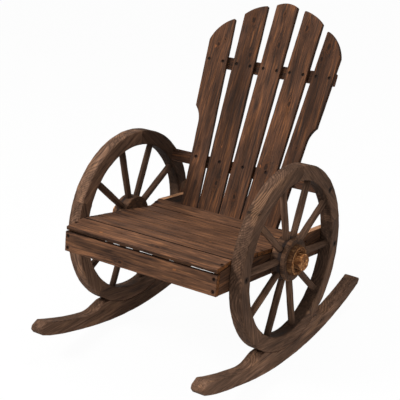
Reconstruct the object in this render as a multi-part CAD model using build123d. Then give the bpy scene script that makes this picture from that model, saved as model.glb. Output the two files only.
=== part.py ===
from build123d import *
import os
from math import asin, atan2, cos, degrees, hypot, radians, sin, sqrt, tan

# Wagon-wheel rocking chair, in millimetres and degrees.
# X points to the viewer's right, Y to the back of the chair and Z up.
# Everything is laid out from the axle line of the two wheels.
# At the end the chair is moved so that its origin is on the ground, under the middle of its box.

# Wheels, which serve as armrests
wheel_radius = 275
rim_depth = 45
rim_thickness = 42
wheel_spacing = 530
felloe_count = 5
spokes_per_felloe = 2
first_joint_angle = 9.5
rim_dowel_diameter = 10
rim_dowel_length = 40
spoke_diameter = 20.5
spoke_rim_tenon = 10
spoke_hub_tenon = 20
glue_gap = 0.15
hub_diameter = 130
hub_length = 46
hub_bevel = 4
boss_diameter = 96
boss_face_diameter = 86
boss_length = 17
axle_diameter = 46
axle_stub_length = 17
spoke_sides = 12
hub_sides = 36
boss_sides = 14
axle_sides = 12

# Rockers
rocker_radius = 1165
rocker_centre_setback = 23
rocker_under_wheel = 43
rocker_reach = 446
bar_depth = 41
tip_depth = 34
tip_nose = 11
tip_chamfer = 27
tip_rounding = 7
hump_base_reach = 212
hump_reach = 155
hump_height_over_rim = 34
saddle_reach = 133
hump_rounding = 14
hump_hollow = 90

# Seat, whose side rails lean back from the apron
rail_tilt = 8
seat_overhang = 60.5
apron_rise = 4.4
apron_height = 59.3
apron_thickness = 14
rail_thickness = 20
rail_front_height = 64.5
rail_rear_height = 82.5
rail_end_inset = 8
seat_slat_thickness = 13
seat_slat_end_gap = 3
seat_gap = 2
nose_overhang = 1
nose_rounding = 5
crest_setback = 74.5
front_slat_rise = 9.5
seat_fall = 3.3
valley_to_back = 47.6
rear_slat_rise = 20
flat_slat_shares = (0.186, 0.217, 0.178, 0.217, 0.202)

# Back, a fan of five boards on a hollow curve
recline = 27.87
back_setback = 117.7
back_curve_radius = 1250
back_slat_width = 76
back_slat_thickness = 13
back_foot_gap = 2.5
fan_angle = 2.1
back_height = 713
back_bottom_drop = 22
back_clearance = 3
crown_corner_shares = ((0.987, 0.987), (0.978, 0.927), (0.899, 0.785))
crown_bulge_shares = (0.125, 0.08, 0.16)
crown_rounding = 4
waist_height = 341
waist_inset = 20
waist_radius = 75
back_rail_height = 38
back_rail_thickness = 20
slat_housing = 0.5
brace_height = 497.5
brace_thickness = 18
brace_end_inset = 1.5
foot_rail_height = 5
foot_rail_depth = 36

# Screws, whose heads sit below the surface
screw_diameter = 6
screw_recess = 1.2
screw_bite = 14
fastener_sides = 6
apron_screw_inset = 12
rail_screw_height_share = 0.6
foot_screw_depth_share = 0.67
brace_screw_offset = 24.5
cross_rail_screw_rise = 8
rocker_screw_angle = 16
rocker_screw_recess = 12
rocker_screw_bite = 25

wheel_half_spacing = wheel_spacing / 2
rim_inner_radius = wheel_radius - rim_depth
rim_mean_radius = wheel_radius - rim_depth / 2
rim_middle = wheel_half_spacing + rim_thickness / 2
felloe_angle = 360 / felloe_count

pieces = {}
screws = {}


def side_plane(x):
    """Plane square to X, whose own axes run to the back and up."""
    return Plane(origin=(x, 0, 0), x_dir=(0, 1, 0), z_dir=(1, 0, 0))


def mirrored(shape):
    return mirror(shape, about=Plane.YZ)


def bar(plane, diameter, start, end, sides):
    """Straight bar with flat sides on a plane's Z axis, which keeps the faces of round pieces few."""
    outline = RegularPolygon(diameter / 2, sides)
    return plane.offset(start) * extrude(outline, end - start)


def fasten(plane, length, group, own=(), shared=(), recess=None):
    """One screw, its head sunk below the plane, and its twin on the other side."""
    sunk = screw_recess if recess is None else recess
    screw = bar(plane, screw_diameter, -length, -sunk, fastener_sides)
    bore = bar(plane, screw_diameter, -length, screw_recess, fastener_sides)
    screws.setdefault(group, []).extend([screw, mirrored(screw)])
    for name in own:
        pieces[name] -= bore
    for name in shared:
        pieces[name] = pieces[name] - bore - mirrored(bore)


# Wheels
def at_angle(angle, radius, x=rim_middle):
    return Vector(x, radius * cos(radians(angle)), radius * sin(radians(angle)))


def spoke(angle, extra=0):
    start = hub_diameter / 2 - spoke_hub_tenon
    end = rim_inner_radius + spoke_rim_tenon
    axle = at_angle(angle, 0)
    plane = Plane(origin=axle, x_dir=(1, 0, 0), z_dir=at_angle(angle, 1) - axle)
    return bar(plane, spoke_diameter + extra, start, end, spoke_sides)


def rim_dowel(angle, extra=0):
    middle = at_angle(angle, rim_mean_radius)
    plane = Plane(origin=middle, x_dir=(1, 0, 0), z_dir=at_angle(angle + 90, 1, 0))
    half = (rim_dowel_length + extra) / 2
    return bar(plane, rim_dowel_diameter + extra, -half, half, fastener_sides)


def felloe(start_angle):
    outer = CenterArc((0, 0), wheel_radius, start_angle, felloe_angle)
    inner = CenterArc((0, 0), rim_inner_radius, start_angle, felloe_angle)
    outline = make_face([outer, inner, Line(outer @ 0, inner @ 0), Line(outer @ 1, inner @ 1)])
    return extrude(side_plane(wheel_half_spacing) * outline, rim_thickness)


spoke_angles = []
for number in range(felloe_count):
    start = first_joint_angle + number * felloe_angle
    body = felloe(start)
    body = body - rim_dowel(start, glue_gap) - rim_dowel(start + felloe_angle, glue_gap)
    for step in range(spokes_per_felloe):
        angle = start + felloe_angle * (step + 1 / 2) / spokes_per_felloe
        body -= spoke(angle, glue_gap)
        spoke_angles.append(angle)
    pieces[f"felloe_{number + 1}_right"] = body

for number, angle in enumerate(spoke_angles):
    pieces[f"spoke_{number + 1}_right"] = spoke(angle)

joint_angles = [first_joint_angle + number * felloe_angle for number in range(felloe_count)]
rim_dowels = [rim_dowel(angle) for angle in joint_angles]

axle_seat = bar(Plane.XY, axle_diameter + glue_gap, 0, hub_length + boss_length, axle_sides)
hub = bar(Plane.XY, hub_diameter, 0, hub_length, hub_sides)
hub = chamfer(hub.faces().sort_by(Axis.Z)[-1].edges(), hub_bevel) - axle_seat
hub = side_plane(wheel_half_spacing) * hub
for angle in spoke_angles:
    hub -= spoke(angle, glue_gap)
pieces["hub_right"] = hub

boss_taper = degrees(atan2(boss_diameter - boss_face_diameter, 2 * boss_length))
boss = extrude(RegularPolygon(boss_diameter / 2, boss_sides), boss_length, taper=boss_taper)
pieces["hub_boss_right"] = side_plane(wheel_half_spacing + hub_length) * (boss - axle_seat)
axle_length = hub_length + boss_length + axle_stub_length
axle = bar(Plane.XY, axle_diameter, 0, axle_length, axle_sides)
pieces["axle_stub_right"] = side_plane(wheel_half_spacing) * axle

# Rockers, each with a saddle that the wheel sits in
rocker_centre = rocker_radius - wheel_radius - rocker_under_wheel
rocker_turn = degrees(asin(rocker_centre_setback / rocker_centre))


def rocker_plane(x):
    """Plane square to X at the axle, turned so that its Y axis points at the rocker's arc centre."""
    return Plane(side_plane(x) * Rot(0, 0, -rocker_turn))


def under_arc(along, depth):
    """Height above the axle of a point of the arc that lies depth above the rolling face."""
    return rocker_centre - sqrt((rocker_radius - depth) ** 2 - along**2)


def rocker_outline():
    bottom_reach = rocker_reach - tip_nose
    top_reach = rocker_reach - tip_chamfer
    bottom = ThreePointArc(
        (-bottom_reach, under_arc(bottom_reach, 0)),
        (0, under_arc(0, 0)),
        (bottom_reach, under_arc(bottom_reach, 0)),
    )
    end_top = under_arc(top_reach, tip_depth)
    mid_top = under_arc(0, bar_depth)
    sag = end_top - mid_top
    top_radius = (top_reach**2 + sag**2) / (2 * sag)
    top = [
        (reach, mid_top + top_radius - sqrt(top_radius**2 - reach**2))
        for reach in (top_reach, (top_reach + hump_base_reach) / 2, hump_base_reach)
    ]
    hump_top = hump_height_over_rim - wheel_radius
    saddle_end = (saddle_reach, -sqrt(wheel_radius**2 - saddle_reach**2))
    saddle = ThreePointArc(
        (-saddle_end[0], saddle_end[1]), (0, -wheel_radius), saddle_end
    )
    edges = [bottom, saddle]
    for side in (-1, 1):
        turned = [(side * reach, height) for reach, height in top]
        hump = (side * hump_reach, hump_top)
        tip = (side * rocker_reach, under_arc(rocker_reach, tip_nose))
        edges += [
            Line((side * bottom_reach, under_arc(bottom_reach, 0)), tip),
            Line(tip, turned[0]),
            ThreePointArc(*turned),
            Line(turned[2], hump),
            Line(hump, (side * saddle_end[0], saddle_end[1])),
        ]
    face = make_face(edges)
    corners = face.vertices()
    tips = [v for v in corners if abs(v.X) > top_reach - tip_rounding]
    face = fillet(tips, tip_rounding)
    humps = [v for v in face.vertices() if abs(abs(v.X) - hump_reach) < tip_rounding]
    face = fillet(humps, hump_rounding)
    hollows = [v for v in face.vertices() if abs(abs(v.X) - hump_base_reach) < tip_rounding]
    return fillet(hollows, hump_hollow)


pieces["rocker_right"] = extrude(
    rocker_plane(wheel_half_spacing) * rocker_outline(), rim_thickness
)

# Seat, drawn from the side with U along the rails and W square to them
seat_side = Plane(
    origin=(0, -wheel_radius - seat_overhang, apron_rise),
    x_dir=(0, cos(radians(rail_tilt)), -sin(radians(rail_tilt))),
    z_dir=(1, 0, 0),
)


def meet(point, angle, other_point, other_angle):
    """Where two lines cross, each given by a point and its angle above U."""
    run, rise = cos(radians(angle)), sin(radians(angle))
    other_run, other_rise = cos(radians(other_angle)), sin(radians(other_angle))
    gap_u, gap_w = other_point[0] - point[0], other_point[1] - point[1]
    reach = (gap_u * other_rise - gap_w * other_run) / (run * other_rise - rise * other_run)
    return (point[0] + reach * run, point[1] + reach * rise)


def beside(point, angle, along, across=0):
    """The point that lies along a line at that angle, and across it to the left."""
    run, rise = cos(radians(angle)), sin(radians(angle))
    return (point[0] + along * run - across * rise, point[1] + along * rise + across * run)


def seat_normal(angle):
    """Direction in space that stands square on a line at that angle."""
    start, end = seat_side.from_local_coords((0, 0)), beside((0, 0), angle, 0, 1)
    return seat_side.from_local_coords(end) - start


def curve(x):
    """How far the hollow back comes forward at that distance from its middle."""
    return back_curve_radius - sqrt(back_curve_radius**2 - x**2)


back_pitch = back_slat_width + back_foot_gap
outer_foot_edge = 2 * back_pitch + back_slat_width / 2 - waist_inset
back_foot = seat_side.to_local_coords(Vector(0, back_setback, 0))
back_angle = 90 + rail_tilt - recline
back_line = beside(
    (back_foot.X, back_foot.Y), back_angle, 0, curve(outer_foot_edge) + back_clearance
)
rail_start = (apron_thickness, rail_front_height)
crest = meet(rail_start, front_slat_rise, (crest_setback, 0), 90)
valley = meet(crest, -seat_fall, (back_foot.X - valley_to_back, 0), 90)
rear_slat_foot = meet(valley, rear_slat_rise, back_line, back_angle)
rail_shoulder = beside(back_line, back_angle, 0, -seat_gap)
axle_in_seat = seat_side.to_local_coords(Vector(0, 0, 0))
rail_reach = sqrt((wheel_radius - rail_end_inset) ** 2 - axle_in_seat.Y**2)
rail_end = axle_in_seat.X + rail_reach

rail_outline = Polyline(
    (apron_thickness, 0),
    rail_start,
    crest,
    valley,
    meet(valley, rear_slat_rise, rail_shoulder, back_angle),
    meet((0, rail_rear_height), 0, rail_shoulder, back_angle),
    (rail_end, rail_rear_height),
    (rail_end, 0),
    close=True,
)
rail_face = seat_side.offset(wheel_half_spacing) * make_face(rail_outline)
pieces["side_rail_right"] = extrude(rail_face, -rail_thickness)

apron_face = Rectangle(apron_thickness, apron_height, align=(Align.MIN, Align.MIN))
pieces["apron"] = extrude(seat_side * apron_face, wheel_half_spacing, both=True)

seat_half_length = wheel_half_spacing - seat_slat_end_gap
rail_centre = wheel_half_spacing - rail_thickness / 2


def seat_slat(name, start, angle, width, rounding=0):
    face = Rectangle(width, seat_slat_thickness, align=(Align.MIN, Align.MIN))
    if rounding:
        face = fillet(face.vertices().sort_by(Axis.X)[:2], rounding)
    face = Pos(*start) * Rot(0, 0, angle) * face
    pieces[name] = extrude(seat_side * face, seat_half_length, both=True)
    seat_screw(name, beside(start, angle, width / 2, seat_slat_thickness), angle)


def seat_screw(name, point, angle):
    head = seat_side.from_local_coords((*point, rail_centre))
    plane = Plane(origin=head, x_dir=(1, 0, 0), z_dir=seat_normal(angle))
    length = seat_slat_thickness + screw_bite
    fasten(plane, length, "rail_screws", ["side_rail_right"], [name])


nose = meet(rail_start, front_slat_rise, (-nose_overhang, 0), 90)
front_width = hypot(crest[0] - nose[0], crest[1] - nose[1]) - seat_gap / 2
seat_slat("seat_slat_front", nose, front_slat_rise, front_width, nose_rounding)

crease = seat_slat_thickness * tan(radians((seat_fall + rear_slat_rise) / 2)) + seat_gap / 2
flat_run = hypot(valley[0] - crest[0], valley[1] - crest[1]) - seat_gap / 2 - crease
slat_start = seat_gap / 2
for number, share in enumerate(flat_slat_shares):
    pitch = (flat_run + seat_gap) * share
    start = beside(crest, -seat_fall, slat_start)
    seat_slat(f"seat_slat_{number + 2}", start, -seat_fall, pitch - seat_gap)
    slat_start += pitch

rear_start = beside(valley, rear_slat_rise, crease)
rear_top_start = beside(rear_start, rear_slat_rise, 0, seat_slat_thickness)
rear_top_end = meet(rear_top_start, rear_slat_rise, back_line, back_angle)
rear_outline = Polyline(rear_start, rear_top_start, rear_top_end, rear_slat_foot, close=True)
pieces["seat_slat_rear"] = extrude(
    seat_side * make_face(rear_outline), seat_half_length, both=True
)
rear_screw = [(a + b) / 2 for a, b in zip(rear_top_start, rear_top_end)]
seat_screw("seat_slat_rear", rear_screw, rear_slat_rise)

# Back, drawn square on with X across, Y up the boards and Z forward
back_plane = Plane(
    origin=(0, back_setback, 0),
    x_dir=(1, 0, 0),
    z_dir=(0, -cos(radians(recline)), sin(radians(recline))),
)
back_foot_offset = back_setback * cos(radians(recline))


def board_middle(rank, height):
    x = rank * back_pitch + height * tan(radians(rank * fan_angle))
    return Vector(x, height, curve(x))


def board_plane(rank):
    """Front face of one board, which lies flat against the hollow of both upper rails."""
    low = board_middle(rank, foot_rail_height)
    high = board_middle(rank, brace_height)
    along = (high - low).normalized()
    turn = asin((low.X + high.X) / 2 / back_curve_radius)
    normal = Vector(cos(turn), 0, sin(turn)).cross(along).normalized()
    return Plane(origin=low, x_dir=along.cross(normal), z_dir=normal)


def on_board(plane, across, height):
    """Point of a board, given by its distance across and its height up the back."""
    along = (height - plane.origin.Y - across * plane.x_dir.Y) / plane.y_dir.Y
    return (across, along)


def back_board(rank):
    plane = board_plane(rank)
    half = back_slat_width / 2
    inner_share, outer_share = crown_corner_shares[rank]
    bottom = on_board(plane, 0, -back_bottom_drop)[1]
    inner = on_board(plane, -half, inner_share * back_height)
    outer = on_board(plane, half, outer_share * back_height)
    rise = degrees(atan2(inner[1] - outer[1], inner[0] - outer[0]))
    chord = hypot(inner[0] - outer[0], inner[1] - outer[1])
    bulge = crown_bulge_shares[rank] * back_slat_width
    top = ThreePointArc(outer, beside(outer, rise, chord / 2, -bulge), inner)
    edges = [top, Line(inner, (-half, bottom))]
    if rank == 2:
        waist = on_board(plane, half, waist_height)
        drop = sqrt(waist_radius**2 - (waist_radius - waist_inset) ** 2)
        tangent = (half - waist_inset, waist[1] - drop)
        edges += [
            Line((-half, bottom), (half - waist_inset, bottom)),
            Line((half - waist_inset, bottom), tangent),
            TangentArc(tangent, waist, tangent=(0, 1)),
            Line(waist, outer),
        ]
    else:
        edges += [Line((-half, bottom), (half, bottom)), Line((half, bottom), outer)]
    face = make_face(edges)
    face = fillet(face.vertices().sort_by(Axis.Y)[-2:], crown_rounding)
    return extrude(plane * face, -back_slat_thickness)


def rail_front(x):
    """Front of a rail behind the boards, which are let into it a little."""
    radius = back_curve_radius + back_slat_thickness - slat_housing
    return back_curve_radius - sqrt(radius**2 - x**2)


def back_rail(height, half_length, thickness, land, flat_rear=0):
    """Rail behind the boards, hollowed in front like the back, with straight ends past the hollow."""
    front_end = rail_front(land)
    front_middle = rail_front(0)
    front = [(-land, front_end), (0, front_middle), (land, front_end)]
    edges = [ThreePointArc(*front)]
    if flat_rear:
        rear_height = front_middle - flat_rear
        edges.append(Line((-half_length, rear_height), (half_length, rear_height)))
    else:
        rear_height = front_end - thickness
        rear = [(-land, rear_height), (0, front_middle - thickness), (land, rear_height)]
        edges.append(ThreePointArc(*rear))
    for side in (-1, 1):
        edges.append(Line((side * half_length, front_end), (side * half_length, rear_height)))
        if half_length > land:
            edges.append(Line((side * land, front_end), (side * half_length, front_end)))
            if not flat_rear:
                edges.append(Line((side * land, rear_height), (side * half_length, rear_height)))
    base = Plane(
        origin=(0, height - back_rail_height / 2, 0), x_dir=(1, 0, 0), z_dir=(0, -1, 0)
    )
    return extrude(base * make_face(edges), -back_rail_height)


def outer_edge(height):
    return board_middle(2, height).X + back_slat_width / 2


brace_reach = outer_edge(brace_height) - brace_end_inset
brace = back_rail(brace_height, brace_reach, brace_thickness, brace_reach)
cross_land = outer_edge(waist_height / 2)
cross_end_middle = rail_front(cross_land) - back_rail_thickness / 2
end_offset = back_foot_offset - cross_end_middle
cross_rail_height = sqrt(rim_mean_radius**2 - end_offset**2) - back_setback * sin(radians(recline))
cross_rail = back_rail(cross_rail_height, wheel_half_spacing, back_rail_thickness, cross_land)
foot_rail = back_rail(
    foot_rail_height,
    wheel_half_spacing - rail_thickness,
    back_rail_thickness,
    outer_edge(foot_rail_height),
    foot_rail_depth - back_slat_thickness,
)

boards = [back_board(rank) for rank in range(3)]
all_boards = boards + [mirrored(board) for board in boards[1:]]
for name, rail in (("back_brace", brace), ("cross_rail", cross_rail), ("foot_rail", foot_rail)):
    for board in all_boards:
        rail -= board
    pieces[name] = back_plane * rail
for rank, board in enumerate(boards):
    pieces[f"back_slat_{rank + 3}"] = back_plane * board


def back_screw(rank, across, height, rail):
    plane = board_plane(rank)
    point = plane.from_local_coords(on_board(plane, across, height))
    head = back_plane * Plane(origin=point, x_dir=plane.x_dir, z_dir=plane.z_dir).location
    length = back_slat_thickness + screw_bite
    name = f"back_slat_{rank + 3}"
    if rank == 0:
        fasten(Plane(head), length, "back_screws", shared=[name, rail])
    else:
        fasten(Plane(head), length, "back_screws", [name], [rail])


# The middle board's single screws lie on the centre line, so each is one screw and not a pair.
def middle_back_screw(height, rail):
    back_screw(0, 0, height, rail)
    screws["back_screws"].pop()


for rank in range(3):
    back_screw(rank, brace_screw_offset, brace_height, "back_brace")
    if rank:
        back_screw(rank, -brace_screw_offset, brace_height, "back_brace")
        back_screw(rank, 0, cross_rail_height + cross_rail_screw_rise, "cross_rail")
        back_screw(rank, 0, foot_rail_height, "foot_rail")
middle_back_screw(cross_rail_height + cross_rail_screw_rise, "cross_rail")
middle_back_screw(foot_rail_height, "foot_rail")

# Screws that hold the apron, the rails, the wheels and the rockers
for height in (apron_screw_inset, apron_height - apron_screw_inset):
    head = seat_side.from_local_coords((0, height, rail_centre))
    plane = Plane(origin=head, x_dir=(1, 0, 0), z_dir=-seat_side.x_dir)
    fasten(plane, apron_thickness + screw_bite, "rail_screws", ["side_rail_right"], ["apron"])


def rim_name(point):
    """Name of the right-hand felloe that lies in the direction of a point."""
    angle = degrees(atan2(point.Z, point.Y)) - first_joint_angle
    return f"felloe_{int(angle % 360 // felloe_angle) + 1}_right"


def wheel_screw(point, bite, own=(), shared=()):
    plane = Plane(side_plane(wheel_half_spacing + rim_thickness) * Pos(point.Y, point.Z))
    fasten(plane, rim_thickness + bite, "wheel_screws", [rim_name(point), *own], shared)


rail_middle = rail_front_height * rail_screw_height_share
screw_run = sqrt(rim_mean_radius**2 - (axle_in_seat.Y - rail_middle) ** 2)
for side in (-1, 1):
    point = seat_side.from_local_coords((axle_in_seat.X + side * screw_run, rail_middle))
    wheel_screw(point, screw_bite, own=["side_rail_right"])
end_point = back_plane.from_local_coords((0, cross_rail_height, cross_end_middle))
wheel_screw(end_point, 2 * screw_bite, shared=["cross_rail"])

foot_end = back_plane.from_local_coords((0, foot_rail_height, -foot_rail_depth * foot_screw_depth_share))
foot_plane = Plane(side_plane(wheel_half_spacing) * Pos(foot_end.Y, foot_end.Z))
fasten(foot_plane, rail_thickness + screw_bite, "rail_screws", ["side_rail_right"], ["foot_rail"])

for side in (-1, 1):
    lean = side * rocker_screw_angle
    reach = wheel_radius + rocker_under_wheel
    point = rocker_plane(rim_middle).from_local_coords(
        (reach * sin(radians(lean)), -reach * cos(radians(lean)))
    )
    plane = Plane(origin=point, x_dir=(1, 0, 0), z_dir=point - Vector(rim_middle, 0, 0))
    names = ["rocker_right", rim_name(point)]
    depth = rocker_under_wheel + rocker_screw_bite
    fasten(plane, depth, "wheel_screws", names, recess=rocker_screw_recess)

# Left-hand twins and the screw groups
for name in list(pieces):
    if name.endswith("_right"):
        pieces[name.replace("_right", "_left")] = mirrored(pieces[name])
pieces["back_slat_2"] = mirrored(pieces["back_slat_4"])
pieces["back_slat_1"] = mirrored(pieces["back_slat_5"])
pieces["rim_dowels"] = Compound(rim_dowels + [mirrored(dowel) for dowel in rim_dowels])
for group, members in screws.items():
    pieces[group] = Compound(members)

# The whole chair moves so that its origin is at the bottom centre of its box
box = Compound(list(pieces.values())).bounding_box()
ground = Pos(-box.center().X, -box.center().Y, -box.min.Z)
os.makedirs("parts", exist_ok=True)
for name, piece in pieces.items():
    export_step(ground * piece, f"parts/{name}.step")

print("size", box.size, "axle", -box.center().Y, -box.min.Z, "nodes", len(pieces))
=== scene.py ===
import math

import bmesh
import bpy
from mathutils import Matrix, Vector, noise


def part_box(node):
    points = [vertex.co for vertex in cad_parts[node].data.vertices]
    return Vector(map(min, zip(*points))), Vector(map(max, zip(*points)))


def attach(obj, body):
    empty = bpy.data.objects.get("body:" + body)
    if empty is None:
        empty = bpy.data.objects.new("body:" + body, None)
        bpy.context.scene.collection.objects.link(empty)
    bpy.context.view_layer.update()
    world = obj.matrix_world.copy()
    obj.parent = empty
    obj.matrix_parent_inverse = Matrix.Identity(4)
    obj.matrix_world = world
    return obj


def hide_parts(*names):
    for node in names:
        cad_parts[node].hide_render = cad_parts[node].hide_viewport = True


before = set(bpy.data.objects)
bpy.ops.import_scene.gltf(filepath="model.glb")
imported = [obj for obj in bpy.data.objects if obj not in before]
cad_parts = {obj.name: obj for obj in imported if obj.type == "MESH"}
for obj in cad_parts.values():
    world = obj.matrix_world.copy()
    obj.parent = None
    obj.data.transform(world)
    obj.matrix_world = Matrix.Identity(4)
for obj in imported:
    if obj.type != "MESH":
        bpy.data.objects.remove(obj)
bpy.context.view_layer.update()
mm = 0.001

# wheels share one axle line, and most places are measured from it
axleLow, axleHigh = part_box("axle_stub_right")
axle = Vector((0, (axleLow.y + axleHigh.y) / 2, (axleLow.z + axleHigh.z) / 2))
sides = {"left": -1, "right": 1}
print("frame loaded, axle at", [round(value, 4) for value in axle])


def srgb(red, green, blue):
    # colour as it is seen on screen, 0 to 255, to the linear values that sockets take
    linear = []
    for value in (red, green, blue):
        share = value / 255
        linear.append(share / 12.92 if share <= 0.04045 else ((share + 0.055) / 1.055) ** 2.4)
    return (*linear, 1)


# node helpers, which take a socket or a plain value for each input

def setInput(tree, socket, value):
    if isinstance(value, bpy.types.NodeSocket):
        tree.links.new(value, socket)
    elif value is not None:
        socket.default_value = value


def calc(tree, operation, first, second=None, third=None):
    made = tree.nodes.new("ShaderNodeMath")
    made.operation = operation
    for socket, value in zip(made.inputs, (first, second, third)):
        setInput(tree, socket, value)
    return made.outputs[0]


def scaled(tree, vector, along, across, through):
    made = tree.nodes.new("ShaderNodeVectorMath")
    made.operation = "MULTIPLY"
    setInput(tree, made.inputs[0], vector)
    setInput(tree, made.inputs[1], (along, across, through))
    return made.outputs["Vector"]


def cloud(tree, vector, scale, detail=3.0, roughness=0.55, distortion=0.0):
    made = tree.nodes.new("ShaderNodeTexNoise")
    setInput(tree, made.inputs["Vector"], vector)
    values = {"Scale": scale, "Detail": detail, "Roughness": roughness, "Distortion": distortion}
    for name, value in values.items():
        setInput(tree, made.inputs[name], value)
    return made.outputs["Fac"]


def fade(tree, value, low, high, toLow=0.0, toHigh=1.0):
    made = tree.nodes.new("ShaderNodeMapRange")
    made.interpolation_type = "SMOOTHSTEP"
    setInput(tree, made.inputs["Value"], value)
    for name, limit in (("From Min", low), ("From Max", high), ("To Min", toLow), ("To Max", toHigh)):
        setInput(tree, made.inputs[name], limit)
    return made.outputs["Result"]


def blendColour(tree, share, first, second, mode="MIX"):
    made = tree.nodes.new("ShaderNodeMix")
    made.data_type = "RGBA"
    made.blend_type = mode
    setInput(tree, made.inputs[0], share)
    setInput(tree, made.inputs[6], first)
    setInput(tree, made.inputs[7], second)
    return made.outputs[2]


def attribute(tree, name, output):
    made = tree.nodes.new("ShaderNodeAttribute")
    made.attribute_name = name
    return made.outputs[output]


def newGroup(name, inputs, outputs):
    group = bpy.data.node_groups.new(name, "ShaderNodeTree")
    for socketName, kind, value in inputs:
        socket = group.interface.new_socket(socketName, in_out="INPUT", socket_type=kind)
        if value is not None:
            socket.default_value = value
    for socketName, kind in outputs:
        group.interface.new_socket(socketName, in_out="OUTPUT", socket_type=kind)
    return group, group.nodes.new("NodeGroupInput").outputs, group.nodes.new("NodeGroupOutput").inputs


def useGroup(tree, group, **values):
    made = tree.nodes.new("ShaderNodeGroup")
    made.node_tree = group
    for name, value in values.items():
        setInput(tree, made.inputs[name], value)
    return made.outputs


# a knot: dark heart, paler ring, stain smeared along the fibres that part round it

def makeKnotGroup():
    group, given, out = newGroup(
        "Knot",
        [("Grain", "NodeSocketVector", None), ("Knot", "NodeSocketVector", None)],
        [
            ("Heart", "NodeSocketFloat"),
            ("Ring", "NodeSocketFloat"),
            ("Smear", "NodeSocketFloat"),
            ("Push", "NodeSocketFloat"),
            ("Part", "NodeSocketFloat"),
        ],
    )
    grain = group.nodes.new("ShaderNodeSeparateXYZ")
    knot = group.nodes.new("ShaderNodeSeparateXYZ")
    setInput(group, grain.inputs[0], given["Grain"])
    setInput(group, knot.inputs[0], given["Knot"])
    size = calc(group, "MAXIMUM", knot.outputs[2], 0.0001)
    along = calc(group, "MULTIPLY", calc(group, "SUBTRACT", grain.outputs[0], knot.outputs[0]), 0.6)
    across = calc(group, "SUBTRACT", grain.outputs[1], knot.outputs[1])
    squared = calc(group, "MULTIPLY_ADD", along, along, calc(group, "MULTIPLY", across, across))
    rough = cloud(group, scaled(group, given["Grain"], 120, 190, 190), 1.0, 3.0, 0.6)
    reach = calc(group, "DIVIDE", calc(group, "SQRT", squared), size)
    reach = calc(group, "MULTIPLY", reach, calc(group, "ADD", calc(group, "MULTIPLY", rough, 2.2), -0.1))
    longAlong = calc(group, "MULTIPLY", along, 0.4)
    longReach = calc(group, "MULTIPLY_ADD", longAlong, longAlong, calc(group, "MULTIPLY", across, across))
    longReach = calc(group, "DIVIDE", calc(group, "SQRT", longReach), size)
    halo = fade(group, reach, 4.5, 0.8)
    smear = fade(group, calc(group, "ADD", longReach, calc(group, "MULTIPLY", rough, 2.6)), 4.6, 1.9)
    ring = calc(group, "MULTIPLY", fade(group, reach, 0.8, 1.1), fade(group, reach, 2.0, 1.3))
    part = calc(group, "MULTIPLY", calc(group, "SIGN", across), calc(group, "MULTIPLY", halo, size))
    setInput(group, out["Heart"], fade(group, reach, 1.15, 0.55))
    setInput(group, out["Ring"], ring)
    setInput(group, out["Smear"], smear)
    setInput(group, out["Push"], calc(group, "MULTIPLY", halo, calc(group, "MULTIPLY", size, 0.7)))
    setInput(group, out["Part"], part)
    return group


# growth rings, streaks and fibres of one sawn board

def makeGrainGroup():
    group, given, out = newGroup(
        "Sawn Grain",
        [
            ("Grain", "NodeSocketVector", None),
            ("Push", "NodeSocketFloat", 0.0),
            ("Part", "NodeSocketFloat", 0.0),
            ("RingPitch", "NodeSocketFloat", 0.005),
            ("PithDepth", "NodeSocketFloat", 0.06),
            ("Wave", "NodeSocketFloat", 0.006),
        ],
        [
            ("Latewood", "NodeSocketFloat"),
            ("Streak", "NodeSocketFloat"),
            ("Faint", "NodeSocketFloat"),
            ("Fibre", "NodeSocketFloat"),
        ],
    )
    grain = given["Grain"]
    parts = group.nodes.new("ShaderNodeSeparateXYZ")
    setInput(group, parts.inputs[0], grain)
    along, across, through = parts.outputs

    bend = calc(group, "SUBTRACT", cloud(group, scaled(group, grain, 2.2, 9, 9), 1.0, 2.0), 0.5)
    ripple = calc(group, "SUBTRACT", cloud(group, scaled(group, grain, 30, 55, 55), 1.0, 2.0), 0.5)
    depth = calc(group, "ADD", through, given["PithDepth"])
    depthSquared = calc(group, "MULTIPLY", depth, depth)
    radius = calc(group, "SQRT", calc(group, "MULTIPLY_ADD", across, across, depthSquared))
    waved = calc(group, "MULTIPLY_ADD", bend, calc(group, "MULTIPLY", given["Wave"], 6.0), radius)
    waved = calc(group, "MULTIPLY_ADD", ripple, calc(group, "MULTIPLY", given["Wave"], 0.5), waved)
    pushed = calc(group, "ADD", waved, given["Push"])
    turn = calc(group, "FRACT", calc(group, "DIVIDE", pushed, given["RingPitch"]))
    late = calc(group, "MULTIPLY", fade(group, turn, 0.35, 0.86), fade(group, turn, 1.0, 0.93))

    spread = group.nodes.new("ShaderNodeCombineXYZ")
    setInput(group, spread.inputs[0], along)
    setInput(group, spread.inputs[1], calc(group, "SUBTRACT", across, given["Part"]))
    setInput(group, spread.inputs[2], through)
    parted = spread.outputs[0]
    broad = cloud(group, scaled(group, parted, 5.5, 95, 95), 1.0, 4.0, 0.62, 0.3)
    narrow = cloud(group, scaled(group, parted, 13, 240, 240), 1.0, 3.0, 0.6)
    streak = calc(group, "MULTIPLY_ADD", broad, 0.55, calc(group, "MULTIPLY", narrow, 0.45))
    setInput(group, out["Latewood"], late)
    setInput(group, out["Streak"], streak)
    setInput(group, out["Faint"], cloud(group, scaled(group, grain, 9, 42, 42), 1.0, 2.0, 0.5))
    setInput(group, out["Fibre"], cloud(group, scaled(group, parted, 26, 620, 620), 1.0, 3.0, 0.6))
    return group


# where handling has rubbed the stain off the arrises

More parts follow.
